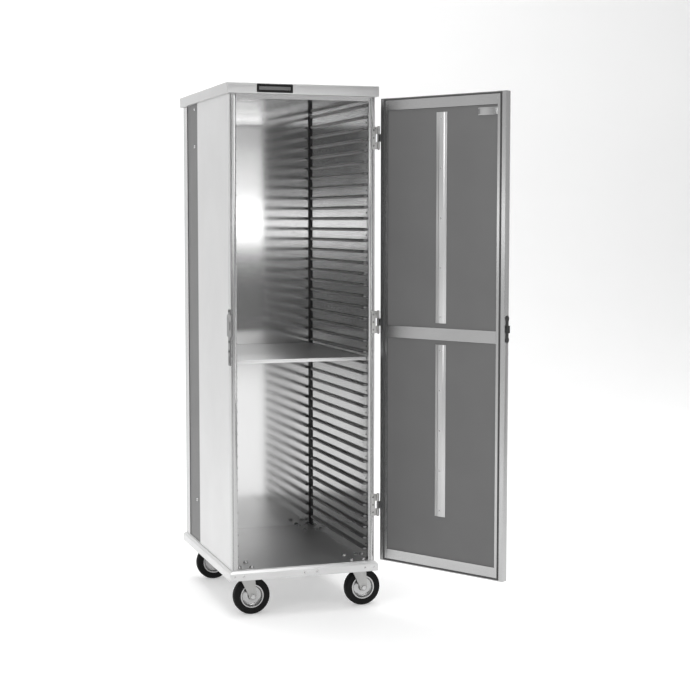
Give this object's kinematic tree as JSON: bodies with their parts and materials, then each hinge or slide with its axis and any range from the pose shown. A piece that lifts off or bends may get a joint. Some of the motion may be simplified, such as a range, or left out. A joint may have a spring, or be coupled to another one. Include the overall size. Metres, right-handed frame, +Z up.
{
  "type": "insulated food carrier",
  "caption": "Tall mobile pan cabinet with double insulated walls, ribbed side liners, a middle shelf, a side-hinged door with an edge latch, and swivel casters.",
  "frame": {"origin": "middle of the whole object's footprint on the floor, with the door stored open; the cabinet's own middle is at x = -0.1445, y = 0.2193", "axes": "+Z up, +X to the right seen from the front, +Y from the open front to the back wall"},
  "size_m": [0.8171, 1.1506, 1.791],
  "materials": {
    "outer_sheet": "satin",
    "dull_panel": "matte",
    "liner_sheet": "polished",
    "extrusion": "satin",
    "door_lining": "satin",
    "insulation": "matte",
    "plated_steel": "satin",
    "wheel_metal": "satin",
    "latch_metal": "satin",
    "tyre": "matte",
    "dark_plate": "satin",
    "seal": "matte"
  },
  "bodies": {
    "cabinet": {"base_rails": "extrusion", "floor_pan": "liner_sheet", "caster_mounting_bars": "extrusion", "floor_insulation": "insulation", "underfloor_sheet": "outer_sheet", "caster_bolts": "plated_steel", "header_rail": "extrusion", "rear_corner_posts": "extrusion", "side_skins": "outer_sheet", "rear_side_panels": "dull_panel", "wall_insulation": "insulation", "side_liners": "liner_sheet", "back_skin": "outer_sheet", "back_liner": "liner_sheet", "left_pan_ribs": "liner_sheet", "right_pan_ribs": "liner_sheet", "ceiling_liner": "liner_sheet", "top_cap": "outer_sheet", "roof_insulation": "insulation", "nameplate": "dark_plate", "hinge_frame_leaves": "plated_steel", "hinge_pins": "plated_steel", "left_front_post": "extrusion", "right_front_post": "extrusion", "latch_keeper": "plated_steel", "body_fasteners": "plated_steel", "caster_mounts": "plated_steel"},
    "door": {"door_skin": "outer_sheet", "door_hinge_stile": "extrusion", "door_latch_stile": "extrusion", "door_top_rail": "extrusion", "door_middle_rail": "extrusion", "door_bottom_rail": "extrusion", "door_core": "insulation", "door_liner_panels": "door_lining", "door_stiffeners": "extrusion", "door_fasteners": "plated_steel", "card_holder": "extrusion", "door_gasket": "seal", "hinge_door_leaves": "plated_steel", "latch_case": "latch_metal"},
    "latch_lever": {"latch_lever": "latch_metal"},
    "latch_bolt": {"latch_bolt": "latch_metal"},
    "shelf": {"middle_shelf": "liner_sheet"},
    "front_left_swivel": {"front_left_fork": "plated_steel", "front_left_axle": "plated_steel"},
    "front_left_roller": {"front_left_wheel": "wheel_metal", "front_left_tyre": "tyre"},
    "front_right_swivel": {"front_right_fork": "plated_steel", "front_right_axle": "plated_steel"},
    "front_right_roller": {"front_right_wheel": "wheel_metal", "front_right_tyre": "tyre"},
    "rear_left_swivel": {"rear_left_fork": "plated_steel", "rear_left_axle": "plated_steel"},
    "rear_left_roller": {"rear_left_wheel": "wheel_metal", "rear_left_tyre": "tyre"},
    "rear_right_swivel": {"rear_right_fork": "plated_steel", "rear_right_axle": "plated_steel"},
    "rear_right_roller": {"rear_right_wheel": "wheel_metal", "rear_right_tyre": "tyre"}
  },
  "joints": [
    {"name": "door_hinge", "type": "hinge", "parent": "cabinet", "child": "door", "pos_m": [0.1195, -0.1297, 0.994], "axis": [0, 0, 1], "range_deg": [-121, 104]},
    {"name": "lever_turn", "type": "hinge", "parent": "door", "child": "latch_lever", "pos_m": [0.38626, -0.5329, 0.992], "axis": [0, 0, -1], "range_deg": [0, 40], "stiffness_Nm_per_rad": 0.4},
    {"name": "bolt_draw", "type": "slide", "parent": "door", "child": "latch_bolt", "axis": [-0.515, 0.8572, 0], "range_m": [0, 0.0063]},
    {"name": "shelf_slide", "type": "slide", "parent": "cabinet", "child": "shelf", "axis": [0, -1, 0], "range_m": [0, 0.4]},
    {"name": "front_left_swivel_turn", "type": "hinge", "parent": "cabinet", "child": "front_left_swivel", "pos_m": [-0.3445, -0.0577, 0.14], "axis": [0, 0, 1], "continuous": true},
    {"name": "front_left_wheel_spin", "type": "hinge", "parent": "front_left_swivel", "child": "front_left_roller", "pos_m": [-0.3145, -0.0577, 0.0635], "axis": [0, 1, 0], "continuous": true},
    {"name": "front_right_swivel_turn", "type": "hinge", "parent": "cabinet", "child": "front_right_swivel", "pos_m": [0.0555, -0.0577, 0.14], "axis": [0, 0, 1], "continuous": true},
    {"name": "front_right_wheel_spin", "type": "hinge", "parent": "front_right_swivel", "child": "front_right_roller", "pos_m": [0.0855, -0.0577, 0.0635], "axis": [0, 1, 0], "continuous": true},
    {"name": "rear_left_swivel_turn", "type": "hinge", "parent": "cabinet", "child": "rear_left_swivel", "pos_m": [-0.3445, 0.4873, 0.14], "axis": [0, 0, 1], "continuous": true},
    {"name": "rear_left_wheel_spin", "type": "hinge", "parent": "rear_left_swivel", "child": "rear_left_roller", "pos_m": [-0.3145, 0.4873, 0.0635], "axis": [0, 1, 0], "continuous": true},
    {"name": "rear_right_swivel_turn", "type": "hinge", "parent": "cabinet", "child": "rear_right_swivel", "pos_m": [0.0555, 0.4873, 0.14], "axis": [0, 0, 1], "continuous": true},
    {"name": "rear_right_wheel_spin", "type": "hinge", "parent": "rear_right_swivel", "child": "rear_right_roller", "pos_m": [0.0855, 0.4873, 0.0635], "axis": [0, 1, 0], "continuous": true}
  ],
  "couplings": [
    {"joint": "bolt_draw", "follows": "lever_turn", "m_per_rad": 0.0088808}
  ]
}
